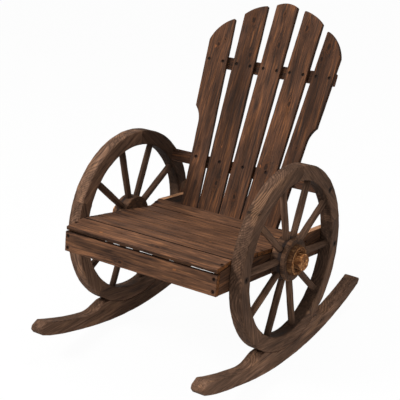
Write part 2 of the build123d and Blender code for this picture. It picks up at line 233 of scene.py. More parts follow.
def makeEdgeWearGroup():
    group, given, out = newGroup(
        "Edge Wear",
        [
            ("Grain", "NodeSocketVector", None),
            ("Arris", "NodeSocketFloat", 0.0),
            ("Amount", "NodeSocketFloat", 0.5),
        ],
        [("Worn", "NodeSocketFloat")],
    )
    patches = cloud(group, scaled(group, given["Grain"], 11, 45, 45), 1.0, 4.0, 0.62)
    start = calc(group, "SUBTRACT", 0.74, calc(group, "MULTIPLY", given["Amount"], 0.3))
    worn = fade(group, patches, start, calc(group, "ADD", start, 0.12))
    setInput(group, out["Worn"], calc(group, "MULTIPLY", worn, given["Arris"]))
    return group


# dark stain that has bitten deeper in long patches, and uneven soaking of the whole board

def makeStainGroup():
    group, given, out = newGroup(
        "Uneven Stain",
        [
            ("Grain", "NodeSocketVector", None),
            ("Cover", "NodeSocketFloat", 0.4),
        ],
        [("Blotch", "NodeSocketFloat"), ("Soak", "NodeSocketFloat")],
    )
    long = cloud(group, scaled(group, given["Grain"], 7, 34, 34), 1.0, 5.0, 0.6, 0.4)
    start = calc(group, "SUBTRACT", 0.86, calc(group, "MULTIPLY", given["Cover"], 0.45))
    setInput(group, out["Blotch"], fade(group, long, start, calc(group, "ADD", start, 0.16)))
    setInput(group, out["Soak"], cloud(group, scaled(group, given["Grain"], 4, 11, 11), 1.0, 3.0, 0.5))
    return group


knotMark = makeKnotGroup()
sawnGrain = makeGrainGroup()
edgeWear = makeEdgeWearGroup()
unevenStain = makeStainGroup()

# what a user would change in each finish
finishes = {
    "seatWood": {
        "slot": "seat_wood", "light": srgb(134, 92, 64), "mid": srgb(98, 68, 50), "dark": srgb(62, 44, 35),
        "line": srgb(44, 30, 23), "blotch": srgb(38, 27, 21), "worn": srgb(150, 100, 66),
        "knot": srgb(140, 84, 46), "chip": srgb(166, 104, 58), "ringPitch": 0.0052, "heart": (0.03, 0.07),
        "wave": 0.006, "blotchCover": 0.4, "wornAmount": 0.3, "lineShare": 0.35, "sideLines": 0.0,
        "sideFaceShade": 0.62, "streakLow": 0.39, "streakHigh": 0.62, "rub": 0.0, "gloss": 0.06,
        "roughLow": 0.6, "roughHigh": 0.82, "relief": 0.4, "dryEnds": 0.4,
    },
    "backWood": {
        "slot": "back_wood", "light": srgb(121, 79, 51), "mid": srgb(84, 57, 42), "dark": srgb(54, 40, 32),
        "line": srgb(36, 25, 21), "blotch": srgb(36, 25, 19), "worn": srgb(134, 84, 52),
        "knot": srgb(134, 78, 42), "chip": srgb(164, 100, 58), "ringPitch": 0.0052, "heart": (0.03, 0.05),
        "wave": 0.007, "blotchCover": 0.5, "wornAmount": 0.3, "lineShare": 0.4, "sideLines": 0.0,
        "sideFaceShade": 0.5, "streakLow": 0.38, "streakHigh": 0.63, "rub": 0.0, "gloss": 0.06,
        "roughLow": 0.6, "roughHigh": 0.8, "relief": 0.4, "dryEnds": 0.2,
    },
    "wheelWood": {
        "slot": "grey_wood", "light": srgb(122, 93, 75), "mid": srgb(96, 72, 57), "dark": srgb(66, 49, 39),
        "line": srgb(50, 37, 30), "blotch": srgb(36, 28, 23), "worn": srgb(156, 116, 86),
        "knot": srgb(120, 80, 52), "chip": srgb(160, 108, 70), "ringPitch": 0.0034, "heart": (0.085, 0.055),
        "wave": 0.0045, "blotchCover": 0.28, "wornAmount": 0.45, "lineShare": 0.22, "sideLines": 0.32,
        "sideFaceShade": 0.0, "streakLow": 0.38, "streakHigh": 0.64, "rub": 0.5, "gloss": 0.05,
        "roughLow": 0.66, "roughHigh": 0.86, "relief": 0.6, "dryEnds": 0.0,
    },
    "hubWood": {
        "slot": "hub_wood", "light": srgb(122, 90, 68), "mid": srgb(92, 67, 51), "dark": srgb(62, 45, 35),
        "line": srgb(34, 25, 20), "blotch": srgb(34, 29, 28), "worn": srgb(126, 86, 58),
        "knot": srgb(110, 70, 42), "chip": srgb(150, 98, 60), "ringPitch": 0.006, "heart": (0.004, 0.004),
        "wave": 0.004, "blotchCover": 0.25, "wornAmount": 0.7, "lineShare": 0.35, "sideLines": 0.0,
        "sideFaceShade": 0.0, "streakLow": 0.4, "streakHigh": 0.62, "rub": 0.2, "gloss": 0.06,
        "roughLow": 0.62, "roughHigh": 0.82, "relief": 0.5, "dryEnds": 0.0,
    },
    "rawWood": {
        "slot": "raw_wood", "light": srgb(212, 158, 104), "mid": srgb(140, 92, 54), "dark": srgb(74, 43, 24),
        "line": srgb(58, 35, 22), "blotch": srgb(50, 33, 24), "worn": srgb(204, 154, 108),
        "knot": srgb(110, 70, 42), "chip": srgb(190, 130, 80), "ringPitch": 0.005, "heart": (0.002, 0.002),
        "wave": 0.004, "blotchCover": 0.5, "wornAmount": 0.6, "lineShare": 0.6, "sideLines": 0.0,
        "sideFaceShade": 0.0, "streakLow": 0.4, "streakHigh": 0.61, "rub": 0.4, "gloss": 0.06,
        "roughLow": 0.7, "roughHigh": 0.9, "relief": 0.9, "dryEnds": 0.0,
    },
}
knotNames = ("knotA", "knotB", "knotC")
bareColour = srgb(206, 152, 112)
# how much of the wood below each mark hides
cover = {
    "blotch": 0.55, "smear": 0.52, "ring": 0.12, "heart": 0.8, "chip": 0.5, "rubbed": 0.8, "worn": 0.6,
    "endGrain": 0.35, "shadeAndGrime": 0.9, "bare": 0.9,
}


def greyOf(tree, level):
    made = tree.nodes.new("ShaderNodeCombineColor")
    for socket in made.inputs[:3]:
        tree.links.new(level, socket)
    return made.outputs[0]


def makeWood(name, finish):
    material = bpy.data.materials.new(name)
    material.use_nodes = True
    tree = material.node_tree
    shader = tree.nodes["Principled BSDF"]
    grain = attribute(tree, "grain", "Vector")
    arris, toneAndShade, side, endGrain, bare, shadeAndGrime = (
        attribute(tree, mark, "Fac") for mark in ("arris", "toneAndShade", "side", "endGrain", "bare", "shadeAndGrime")
    )

    def layer(share, colour, strength=1.0):
        return blendColour(tree, calc(tree, "MULTIPLY", share, strength), layers[-1], colour)

    def darken(level):
        return blendColour(tree, 1.0, layers[-1], greyOf(tree, level), "MULTIPLY")

    knots = [
        useGroup(tree, knotMark, Grain=grain, Knot=attribute(tree, knot, "Vector")) for knot in knotNames
    ]
    chip = useGroup(tree, knotMark, Grain=grain, Knot=attribute(tree, "chip", "Vector"))["Heart"]
    drawn = [scaled(tree, mark, 0.4, 1, 1) for mark in (grain, attribute(tree, "stain", "Vector"))]
    longStain = useGroup(tree, knotMark, Grain=drawn[0], Knot=drawn[1])["Smear"]
    joined = {"Heart": "MAXIMUM", "Ring": "MAXIMUM", "Smear": "MAXIMUM", "Push": "ADD", "Part": "ADD"}
    marks = {}
    for mark, operation in joined.items():
        first = calc(tree, operation, knots[0][mark], knots[1][mark])
        marks[mark] = calc(tree, operation, first, knots[2][mark])
    sawn = useGroup(tree, sawnGrain, Grain=grain, Push=marks["Push"], Part=marks["Part"],
                    RingPitch=finish["ringPitch"], PithDepth=finish["heart"][1], Wave=finish["wave"])
    stain = useGroup(tree, unevenStain, Grain=grain, Cover=finish["blotchCover"])
    worn = useGroup(tree, edgeWear, Grain=grain, Arris=arris, Amount=finish["wornAmount"])["Worn"]

    # stain lies in long streaks, and the late wood of each ring takes more of it
    low, high = finish["streakLow"], finish["streakHigh"]
    middle = (low + high) / 2
    layers = [blendColour(tree, fade(tree, sawn["Streak"], low, middle), finish["dark"], finish["mid"])]
    layers.append(layer(fade(tree, sawn["Streak"], middle, high), finish["light"]))
    lineShare = calc(tree, "MULTIPLY_ADD", side, finish["sideLines"], finish["lineShare"])
    seenLines = calc(tree, "MAXIMUM", fade(tree, sawn["Faint"], 0.38, 0.58), side)
    lines = calc(tree, "MULTIPLY", sawn["Latewood"], seenLines)
    layers.append(layer(calc(tree, "MULTIPLY", lines, lineShare), finish["line"]))
    layers.append(darken(fade(tree, sawn["Fibre"], 0.3, 0.72, 0.74, 1.2)))
    layers.append(layer(stain["Blotch"], finish["blotch"], cover["blotch"]))

    # knots, and the orange chips beside some of them
    smeared = calc(tree, "MAXIMUM", marks["Smear"], longStain)
    layers.append(layer(smeared, finish["blotch"], cover["smear"]))
    layers.append(layer(marks["Ring"], finish["knot"], cover["ring"]))
    layers.append(layer(marks["Heart"], finish["blotch"], cover["heart"]))
    layers.append(layer(chip, finish["chip"], cover["chip"]))

    # rubbed places show the wood between the rings paler, and the arrises too
    rubbed = fade(tree, stain["Soak"], 0.48, 0.6)
    rubbed = calc(tree, "MULTIPLY", rubbed, fade(tree, sawn["Faint"], 0.48, 0.62))
    rubbed = calc(tree, "MULTIPLY", rubbed, finish["rub"])
    rubbed = calc(tree, "MULTIPLY", rubbed, calc(tree, "SUBTRACT", 1.0, sawn["Latewood"]))
    layers.append(layer(rubbed, finish["worn"], cover["rubbed"]))
    layers.append(layer(worn, finish["worn"], cover["worn"]))
    layers.append(layer(endGrain, finish["line"], cover["endGrain"]))
    # painted shade laid in the blotch colour on board sides in the gaps, inner rim faces, hub and boss
    # hollows, chisel crevices and screw holes, and on the spoke joints, where it is partly stain
    layers.append(layer(shadeAndGrime, finish["blotch"], cover["shadeAndGrime"]))
    # side faces of the boards are painted darker as shade
    layers.append(darken(calc(tree, "MULTIPLY_ADD", side, -finish["sideFaceShade"], 1.0)))
    # uneven soaking, and each piece's tone, which on some pieces is painted light and shade
    soaked = fade(tree, stain["Soak"], 0.36, 0.64, 0.84, 1.14)
    layers.append(darken(calc(tree, "MULTIPLY", soaked, calc(tree, "ADD", toneAndShade, 1.0))))
    layers.append(layer(bare, bareColour, cover["bare"]))
    dryEnds = calc(tree, "MULTIPLY", endGrain, fade(tree, sawn["Streak"], 0.34, 0.62))
    layers.append(layer(dryEnds, finish["chip"], finish["dryEnds"]))
    tree.links.new(layers[-1], shader.inputs["Base Color"])

    rough = fade(tree, sawn["Streak"], 0.3, 0.7, finish["roughLow"], finish["roughHigh"])
    tree.links.new(rough, shader.inputs["Roughness"])
    shader.inputs["Specular IOR Level"].default_value = finish["gloss"]

    relief = calc(tree, "MULTIPLY_ADD", sawn["Latewood"], 0.6, calc(tree, "MULTIPLY", sawn["Fibre"], 0.7))
    relief = calc(tree, "MULTIPLY_ADD", marks["Heart"], -0.5, relief)
    bump = tree.nodes.new("ShaderNodeBump")
    bump.inputs["Strength"].default_value = finish["relief"]
    bump.inputs["Distance"].default_value = 0.0012
    tree.links.new(relief, bump.inputs["Height"])
    tree.links.new(bump.outputs["Normal"], shader.inputs["Normal"])
    return material


woods = {name: makeWood(name, finish) for name, finish in finishes.items()}


def makeScrewSteel():
    material = bpy.data.materials.new("screwSteel")
    material.use_nodes = True
    tree = material.node_tree
    shader = tree.nodes["Principled BSDF"]
    place = tree.nodes.new("ShaderNodeTexCoord").outputs["Object"]
    rust = fade(tree, cloud(tree, place, 900.0, 4.0), 0.42, 0.62)
    tree.links.new(blendColour(tree, rust, srgb(22, 19, 18), srgb(48, 32, 24)), shader.inputs["Base Color"])
    tree.links.new(calc(tree, "MULTIPLY_ADD", rust, 0.3, 0.6), shader.inputs["Roughness"])
    shader.inputs["Specular IOR Level"].default_value = 0.12
    return material


screwSteel = makeScrewSteel()
print("finishes made:", ", ".join([*woods, "screwSteel"]))


# reading flat faces of the CAD pieces

def chainLoops(edges):
    links = {}
    for edge in edges:
        for vert, other in (edge.verts, reversed(edge.verts)):
            links.setdefault(vert, []).append(other)
    loops, used = [], set()
    for start in links:
        if start in used:
            continue
        loop, before, here = [], None, start
        while here not in used:
            used.add(here)
            loop.append(here.co.copy())
            onward = [vert for vert in links[here] if vert is not before and vert not in used]
            if not onward:
                break
            before, here = here, onward[0]
        loops.append(loop)
    return sorted(loops, key=lambda loop: -sum((a - b).length for a, b in zip(loop, loop[1:] + loop[:1])))


def flatFace(nodeName, facing):
    # widest flat face on one side of a piece: outline, middles of its screw holes, normal and depth behind it
    work = bmesh.new()
    work.from_mesh(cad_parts[nodeName].data)
    bmesh.ops.remove_doubles(work, verts=work.verts, dist=1e-6)
    towards = [face for face in work.faces if face.normal.dot(facing) > 0.85]
    widest = max(towards, key=lambda face: face.calc_area())
    normal = widest.normal.copy()
    level = widest.verts[0].co.dot(normal)
    parallel = [face for face in towards if face.normal.dot(normal) > 0.9999]
    flat = {
        face for face in parallel if all(abs(vert.co.dot(normal) - level) < 2e-5 for vert in face.verts)
    }
    rim = {edge for face in flat for edge in face.edges if sum(near in flat for near in edge.link_faces) == 1}
    loops = chainLoops(rim)
    holes = [sum(loop, Vector()) / len(loop) for loop in loops[1:]]
    depth = level - min(vert.co.dot(normal) for vert in work.verts)
    work.free()
    outline = loops[0]
    area = sum((a.cross(b) for a, b in zip(outline, outline[1:] + outline[:1])), Vector()).dot(normal)
    if area < 0:
        outline.reverse()
    return outline, holes, normal, depth


def evenOutline(outline, step):
    # drops points in line, then divides what is longer than a step
    kept = []
    for before, here, after in zip(outline[-1:] + outline[:-1], outline, outline[1:] + outline[:1]):
        if (here - before).angle(after - here, 0) > 0.004:
            kept.append(here)
    points = []
    for start, end in zip(kept, kept[1:] + kept[:1]):
        count = max(1, math.ceil((end - start).length / step))
        points += [start.lerp(end, number / count) for number in range(count)]
    return points


# boards, rails, felloes and rockers: a sawn outline with worn, slightly uneven arrises

screwHole = {
    "radius": 3.8 * mm, "mouth": 4.6 * mm, "sink": 0.9 * mm, "depth": 6 * mm, "halo": 7.5 * mm, "corners": 14,
}
screwSpots = {"back_screws": [], "rail_screws": [], "wheel_screws": []}


def insetRing(points, normal, radii, share):
    # moves each point into the face by its share of the rounding on both edges that meet there
    ring = []
    count = len(points)
    for index, here in enumerate(points):
        before, after = points[index - 1], points[(index + 1) % count]
        inFirst = normal.cross(here - before).normalized()
        inSecond = normal.cross(after - here).normalized()
        first, second = radii[index - 1] * share, radii[index] * share
        facing = inFirst.dot(inSecond)
        if facing > 0.94:
            middle = (inFirst + inSecond).normalized()
            ring.append(here + middle * ((first + second) / 2 / max(0.5, middle.dot(inFirst))))
        else:
            spread = 1 - facing * facing
            a = (first - second * facing) / spread
            b = (second - first * facing) / spread
            ring.append(here + inFirst * a + inSecond * b)
    return ring


def sawnPiece(nodeName, facing, grainWay, look, outline=None):
    face, holes, normal, depth = flatFace(nodeName, Vector(facing).normalized())
    points = evenOutline(outline or face, look["step"])
    seed = Vector([noise.random() for axis in range(3)]) * 40
    middle = sum(points, Vector()) / len(points)
    way = Vector(grainWay)
    way = (way - normal * way.dot(normal)).normalized()
    across = normal.cross(way)

    radii = []
    for start, end in zip(points, points[1:] + points[:1]):
        butt = abs((end - start).normalized().dot(way)) < look.get("buttBelow", 0)
        radius = look["buttRounding"] if butt else look["rounding"]
        if "noseRounding" in look and normal.cross(end - start).normalized().y > 0.9:
            radius = look["noseRounding"]
        uneven = noise.noise((start + end) * look["wearScale"] + seed)
        radii.append(radius * (1 + look["wearDepth"] * uneven))

    # rings go from the front face round the arris, down the side and on to the back face
    steps = look["arrisSteps"]
    profile = []
    for number in range(steps + 1):
        turn = math.pi / 2 * number / steps
        wear = look["sideWear"] * (number > 0)
        if 0 < number < steps:
            wear = math.sin(2 * turn) ** 0.5
        profile.append((1 - math.sin(turn), 1 - math.cos(turn), wear))
    vertexRadii = [(radii[index - 1] + radii[index]) / 2 for index in range(len(points))]

    mesh = bmesh.new()
    arris = mesh.verts.layers.float.new("arris")
    side = mesh.verts.layers.float.new("side")
    shadeAndGrime = mesh.verts.layers.float.new("shadeAndGrime")
    rings = []

    innermost = min(math.hypot(place.y - axle.y, place.z - axle.z) for place in points)

    def addRing(places, wear, sideShare):
        ring = [mesh.verts.new(place) for place in places]
        for vert in ring:
            vert[arris] = wear
            vert[side] = sideShare * look.get("sideMark", 1)
            # rim faces nearest the axle are painted darker as shade
            inside = math.hypot(vert.co.y - axle.y, vert.co.z - axle.z) < innermost + 4 * mm
            vert[shadeAndGrime] = look.get("innerShade", 0) * inside * sideShare
            # the sides of each board get painted shade, as in the gaps between boards
            vert[shadeAndGrime] += look.get("edgeShade", 0) * min(1, 3 * sideShare)
        rings.append(ring)

    for inset, drop, wear in profile:
        places = insetRing(points, normal, radii, inset)
        addRing([place - normal * radius * drop for place, radius in zip(places, vertexRadii)], wear, drop)
    for number in range(1, look["sideSteps"]):
        share = number / look["sideSteps"]
        addRing([
            place - normal * (radius + (depth - 2 * radius) * share)
            for place, radius in zip(points, vertexRadii)
        ], 0, 1)
    for inset, drop, wear in reversed(profile):
        places = insetRing(points, normal, radii, inset)
        behind = [place - normal * (depth - radius * drop) for place, radius in zip(places, vertexRadii)]
        addRing(behind, wear, drop)

    for upper, lower in zip(rings, rings[1:]):
        for index in range(len(points)):
            follow = (index + 1) % len(points)
            mesh.faces.new((upper[index], lower[index], lower[follow], upper[follow]))

    # screw holes are sunk into the front face, with a bruised mouth; the mouth and the inside of each hole
    # are painted dark as shade
    inner = []
    for hole in holes:
        rows = []
        bruise = look.get("bruise", 1)
        for radius, drop, paintedShade in (
            (screwHole["halo"] * bruise, 0, 0), (screwHole["mouth"] * bruise, 0, 0.95),
            (screwHole["radius"], screwHole["sink"], 1), (screwHole["radius"], screwHole["depth"], 1),
        ):
            row = []
            for corner in range(screwHole["corners"]):
                angle = 2 * math.pi * corner / screwHole["corners"]
                place = hole + (way * math.cos(angle) + across * math.sin(angle)) * radius - normal * drop
                vert = mesh.verts.new(place)
                vert[shadeAndGrime] = paintedShade
                row.append(vert)
            rows.append(row)
        for upper, lower in zip(rows, rows[1:]):
            for index in range(len(upper)):
                follow = (index + 1) % len(upper)
                mesh.faces.new((upper[index], upper[follow], lower[follow], lower[index]))
        mesh.faces.new(rows[-1])
        inner.append(rows[0])
        screwSpots[look["screws"]].append((hole.copy(), normal.copy()))
    for loops in ([rings[0], *inner], [rings[-1]]):
        edges = []
        for loop in loops:
            for vert, follow in zip(loop, loop[1:] + loop[:1]):
                edges.append(mesh.edges.get((vert, follow)) or mesh.edges.new((vert, follow)))
        bmesh.ops.triangle_fill(mesh, use_beauty=True, edges=edges)
    bmesh.ops.recalc_face_normals(mesh, faces=mesh.faces)

    # small waves of a hand-held plane or saw
    for vert in mesh.verts:
        sway = noise.noise(vert.co * look["swayScale"] + seed) * look["sway"]
        vert.co += vert.normal * sway
    finishMesh(mesh, nodeName, seed, middle, way, across, normal, look)


# a mark is how far along and across a piece it lies, and its size, and this one is off every piece
farMark = (9000, 9000, 1)
creaseAngle = math.radians(50)


def joinRows(mesh, rows):
    # joins each ring of points to the next, and fills both ends
    count = len(rows[0])
    for lower, upper in zip(rows, rows[1:]):
        for index in range(count):
            follow = (index + 1) % count
            mesh.faces.new((lower[index], lower[follow], upper[follow], upper[index]))
    mesh.faces.new(rows[0])
    mesh.faces.new(rows[-1])


def finishMesh(mesh, nodeName, seed, middle, way, across, normal, look):
    # grain runs along the piece, so its coordinates are kept on the mesh with the piece's own shift and tone,
    # which on some pieces is painted light and shade
    grain = mesh.verts.layers.float_vector.new("grain")
    marks = {name: mesh.verts.layers.float_vector.new(name) for name in (*knotNames, "chip", "stain")}
    toneAndShade = mesh.verts.layers.float.new("toneAndShade")
    endGrain = mesh.faces.layers.float.new("endGrain")
    bare = mesh.faces.layers.float.new("bare")
    knots = look.get("knots", {}).get(nodeName, [])
    markPlaces = dict(zip(knotNames, knots))
    for name in ("chip", "stain"):
        markPlaces[name] = look.get(name + "s", {}).get(nodeName, farMark)
    shade = look.get("tonesAndShade", {}).get(nodeName, 0) + look["toneSpread"] * noise.noise(seed * 3.7)
    # the tree's heart lies to one side of the board, above or below
    heart = finishes[look["finish"]]["heart"][0] * math.copysign(1, math.sin(seed.y))
    shift = Vector((seed.x, heart, 0))
    for vert in mesh.verts:
        place = vert.co - middle
        vert[grain] = Vector((place.dot(way), place.dot(across), place.dot(normal))) + shift
        vert[toneAndShade] = shade
        for name, layer in marks.items():
            vert[layer] = Vector(markPlaces.get(name, farMark)) * mm + Vector((*shift.xy, 0))
    bareFrom = look.get("bareFrom", math.inf)
    for face in mesh.faces:
        face[endGrain] = float(abs(face.normal.dot(way)) > 0.8)
        face[bare] = float(face.normal.z > 0.9 and face.calc_center_median().y > bareFrom)
        face.smooth = True
    for edge in mesh.edges:
        edge.smooth = edge.calc_face_angle(0) < creaseAngle
    data = bpy.data.meshes.new(nodeName)
    mesh.to_mesh(data)
    mesh.free()
    piece = bpy.data.objects.new(nodeName + "_wood", data)
    bpy.context.scene.collection.objects.link(piece)
    data.materials.append(woods[look["finish"]])
    weighted = piece.modifiers.new("evenShading", "WEIGHTED_NORMAL")
    weighted.keep_sharp = True
    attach(piece, "root")
    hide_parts(nodeName)


noise.seed_set(11)
# seat
seatLook = {
    "finish": "seatWood", "rounding": 1.8 * mm, "wearDepth": 0.5, "wearScale": 38, "arrisSteps": 3,
    "sideSteps": 2, "step": 9 * mm, "sway": 0.35 * mm, "swayScale": 26, "toneSpread": 0.12,
    "screws": "rail_screws", "edgeShade": 0.85, "sideWear": 0.35,
    "knots": {"seat_slat_3": [(130, 4, 3)], "seat_slat_5": [(-60, 8, 4)], "seat_slat_2": [(-150, -6, 3)]},
    "chips": {"seat_slat_3": (118, 8, 3)},
}
for nodeName in ["seat_slat_rear"] + [f"seat_slat_{number}" for number in range(2, 7)]:
    sawnPiece(nodeName, (0, 0, 1), (1, 0, 0), seatLook)

# the front slat ends in a round nose, which its flat top stops short of
noseLook = dict(
    seatLook, noseRounding=5 * mm, noseShare=0.45, wearDepth=0.7, tonesAndShade={"seat_slat_front": 0.12},
    knots={"seat_slat_front": [(45, -8, 5), (-96, 10, 3)]}, chips={"seat_slat_front": (-150, -16, 4)},
    stains={"seat_slat_front": (188, -8, 5.5)}, edgeShade=0.12,
)
noseTop = flatFace("seat_slat_front", Vector((0, 0, 1)))[0]
topFront = min(point.y for point in noseTop)
noseReach = Vector((0, (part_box("seat_slat_front")[0].y - topFront) * noseLook["noseShare"], 0))
noseOutline = [point + noseReach if point.y < topFront + noseLook["rounding"] else point for point in noseTop]
sawnPiece("seat_slat_front", (0, 0, 1), (1, 0, 0), noseLook, noseOutline)

apronLook = dict(
    seatLook, tonesAndShade={"apron": -0.15}, knots={"apron": [(-60, -14, 4)]}, chips={"apron": (127, 12, 3.5)},
    stains={"apron": (-150, 5, 6)}, edgeShade=0.3,
)
sawnPiece("apron", (0, -1, 0), (1, 0, 0), apronLook)
railLook = dict(
    seatLook, rounding=1.6 * mm, knots={}, chips={}, bareFrom=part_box("seat_slat_rear")[1].y, edgeShade=0,
    tonesAndShade={"side_rail_left": -0.5, "side_rail_right": -0.5},
)
for side, way in sides.items():
    sawnPiece(f"side_rail_{side}", (way, 0, 0), (0, 1, 0), railLook)
print("seat made")

# back
backLook = {
    "finish": "backWood", "rounding": 1.8 * mm, "wearDepth": 0.5, "wearScale": 34, "arrisSteps": 3,
    "sideSteps": 2, "step": 9 * mm, "sway": 0.35 * mm, "swayScale": 22, "toneSpread": 0.06,
    "screws": "back_screws", "sideWear": 0.35,
    "tonesAndShade": {"back_slat_1": 0.02, "back_slat_2": -0.2, "back_slat_3": 0.12, "back_slat_4": 0.06,
              "back_slat_5": -0.14},
    "knots": {
        "back_slat_1": [(217, 25, 4), (-117, -4, 2.5), (236, 6, 2.5)],
        "back_slat_2": [(284, 12, 6), (171, -8, 5), (-248, -13, 5)],
        "back_slat_3": [(205, -8, 6), (305, 1, 3), (-289, 1, 5)],
        "back_slat_4": [(282, 0, 6), (40, -11, 5), (-164, 8, 7)],
        "back_slat_5": [(260, -12, 7), (220, 2, 5), (-60, 4, 3)],
    },
    "chips": {"back_slat_1": (209, 33, 3.2), "back_slat_4": (-166, 29, 3.2), "back_slat_2": (-132, 2, 2.5)},
    "stains": {"back_slat_1": (40, -8, 3), "back_slat_2": (60, 4, 7), "back_slat_3": (-120, 8, 5),
               "back_slat_4": (150, 6, 5), "back_slat_5": (130, -2, 7)},
}
for number in range(1, 6):
    sawnPiece(f"back_slat_{number}", (0, -1, 0.5), (0, 0.5, 1), backLook)
crossLook = dict(backLook, tonesAndShade={"back_brace": -0.1, "foot_rail": -0.2, "cross_rail": 0.9})
for nodeName in ("back_brace", "cross_rail", "foot_rail"):
    sawnPiece(nodeName, (0, 0.5, 1), (1, 0, 0), crossLook)
print("back made")

# wheels
felloeLook = {
    "finish": "wheelWood", "rounding": 4.6 * mm, "buttRounding": 0.5 * mm, "buttBelow": 0.8,
    "wearDepth": 0.4, "wearScale": 30, "arrisSteps": 4, "sideSteps": 4, "step": 8 * mm,
    "sway": 0.6 * mm, "swayScale": 24, "toneSpread": 0.08, "screws": "wheel_screws", "bruise": 1.6,
    "innerShade": 0.6, "sideWear": 0.35,
    # felloe_1_left is a darker piece of wood; the other tones lighten the left wheel and darken the right one
    # as painted light and shade
    "tonesAndShade": {"felloe_1_left": -0.48, "felloe_2_left": 0.22, "felloe_3_left": 0.16, "felloe_1_right": -0.1,
              "felloe_2_right": -0.14, "felloe_3_right": -0.14, "felloe_4_right": -0.04,
              "felloe_5_right": -0.06},
    "knots": {"felloe_2_right": [(75, -25, 3)], "felloe_1_right": [(-46, -19, 3)]},
}
for side, way in sides.items():
    for number in range(1, 6):
        nodeName = f"felloe_{number}_{side}"
        low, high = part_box(nodeName)
        out = (low + high) / 2 - axle
        chord = Vector((0, -out.z, out.y)).normalized()
        sawnPiece(nodeName, (way, 0, 0), chord, felloeLook)

# the rockers' tones lighten them as painted light
rockerLook = dict(
    felloeLook, rounding=3.4 * mm, buttBelow=0, knots={"rocker_right": [(191, -15, 4)]}, innerShade=0,
    sideMark=0.4, tonesAndShade={"rocker_left": 0.1, "rocker_right": 0.28},
)
# front tips hang a little fuller below the curve than the CAD's outline
tip = {"from": 0.25, "to": 0.43, "drop": 5.5 * mm, "slope": 0.42, "sole": 0.476, "above": 13 * mm}


def fullerTip(point):
    share = min(1, max(0, (-point.y - tip["from"]) / (tip["to"] - tip["from"])))
    below = point.z < tip["sole"] * point.y ** 2 + tip["above"]
    drop = tip["drop"] * share * share * (3 - 2 * share) * below
    return point + Vector((0, -drop * tip["slope"], -drop))


# screws that come up through the rockers lie inside the wood, where the CAD has them
hiddenScrews = {"below": 100 * mm, "headSink": 3.2 * mm}


def addHiddenScrews(way):
    ends = {}
    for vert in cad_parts["wheel_screws"].data.vertices:
        if vert.co.z < hiddenScrews["below"] and vert.co.x * way > 0:
            ends.setdefault(vert.co.y > axle.y, []).append(vert.co.copy())
    for places in ends.values():
        middle = sum(places, Vector()) / len(places)
        lower = [place for place in places if place.z < middle.z]
        head = sum(lower, Vector()) / len(lower)
        down = (head - middle).normalized()
        screwSpots["wheel_screws"].append((head + down * hiddenScrews["headSink"], down))


for side, way in sides.items():
    addHiddenScrews(way)
    rockerOutline = evenOutline(flatFace(f"rocker_{side}", Vector((way, 0, 0)))[0], rockerLook["step"])
    rockerOutline = [fullerTip(point) for point in rockerOutline]
    sawnPiece(f"rocker_{side}", (way, 0, 0), (0, 1, 0), rockerLook, rockerOutline)

spokeLook = {
    "finish": "wheelWood", "sides": 16, "rings": 16, "uneven": 0.7 * mm, "swell": 0.05, "toneSpread": 0.3,
    "jointShadeAndStain": 0.7, "wheelSideShade": {"left": -0.3, "right": -0.14}, "tonesAndShade": {},
}
# spokes of each wheel are darkened as painted shade, the left wheel's more
for side, toneAndShade in spokeLook["wheelSideShade"].items():
    for number in range(1, 11):
        spokeLook["tonesAndShade"][f"spoke_{number}_{side}"] = toneAndShade


def makeSpoke(nodeName, side):
    low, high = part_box(nodeName)
    middle = (low + high) / 2
    way = (middle - Vector((middle.x, axle.y, axle.z))).normalized()
    cad = [vert.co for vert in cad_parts[nodeName].data.vertices]
    reach = [(place - middle).dot(way) for place in cad]
    radius = max(((place - middle) - way * (place - middle).dot(way)).length for place in cad)
    normal = Vector((sides[side], 0, 0))
    across = normal.cross(way)
    seed = Vector([noise.random() for axis in range(3)]) * 40
    mesh = bmesh.new()
    mesh.verts.layers.float.new("arris")
    shadeAndGrime = mesh.verts.layers.float.new("shadeAndGrime")
    rows = []
    for ring in range(spokeLook["rings"] + 1):
        along = min(reach) + (max(reach) - min(reach)) * ring / spokeLook["rings"]
        row = []
        for corner in range(spokeLook["sides"]):
            angle = 2 * math.pi * corner / spokeLook["sides"]
            out = normal * math.cos(angle) + across * math.sin(angle)
            bulge = math.sin(math.pi * ring / spokeLook["rings"])
            swell = 1 + spokeLook["swell"] * bulge - spokeLook["swell"] / 2
            place = middle + way * along + out * radius * swell
            place += out * noise.noise(place * 30 + seed) * spokeLook["uneven"]
            vert = mesh.verts.new(place)
            # painted shade, partly stain, darkens both ends of the spoke, where it meets the hub and the rim
            fromMiddle = abs(2 * ring / spokeLook["rings"] - 1)
            vert[shadeAndGrime] = spokeLook["jointShadeAndStain"] * max(0, fromMiddle - 0.6) / 0.4
            row.append(vert)
        rows.append(row)
    joinRows(mesh, rows)
    bmesh.ops.recalc_face_normals(mesh, faces=mesh.faces)
    finishMesh(mesh, nodeName, seed, middle, way, across, normal, spokeLook)


for side in sides:
    for number in range(1, 11):
        makeSpoke(f"spoke_{number}_{side}", side)
print("wheels made")

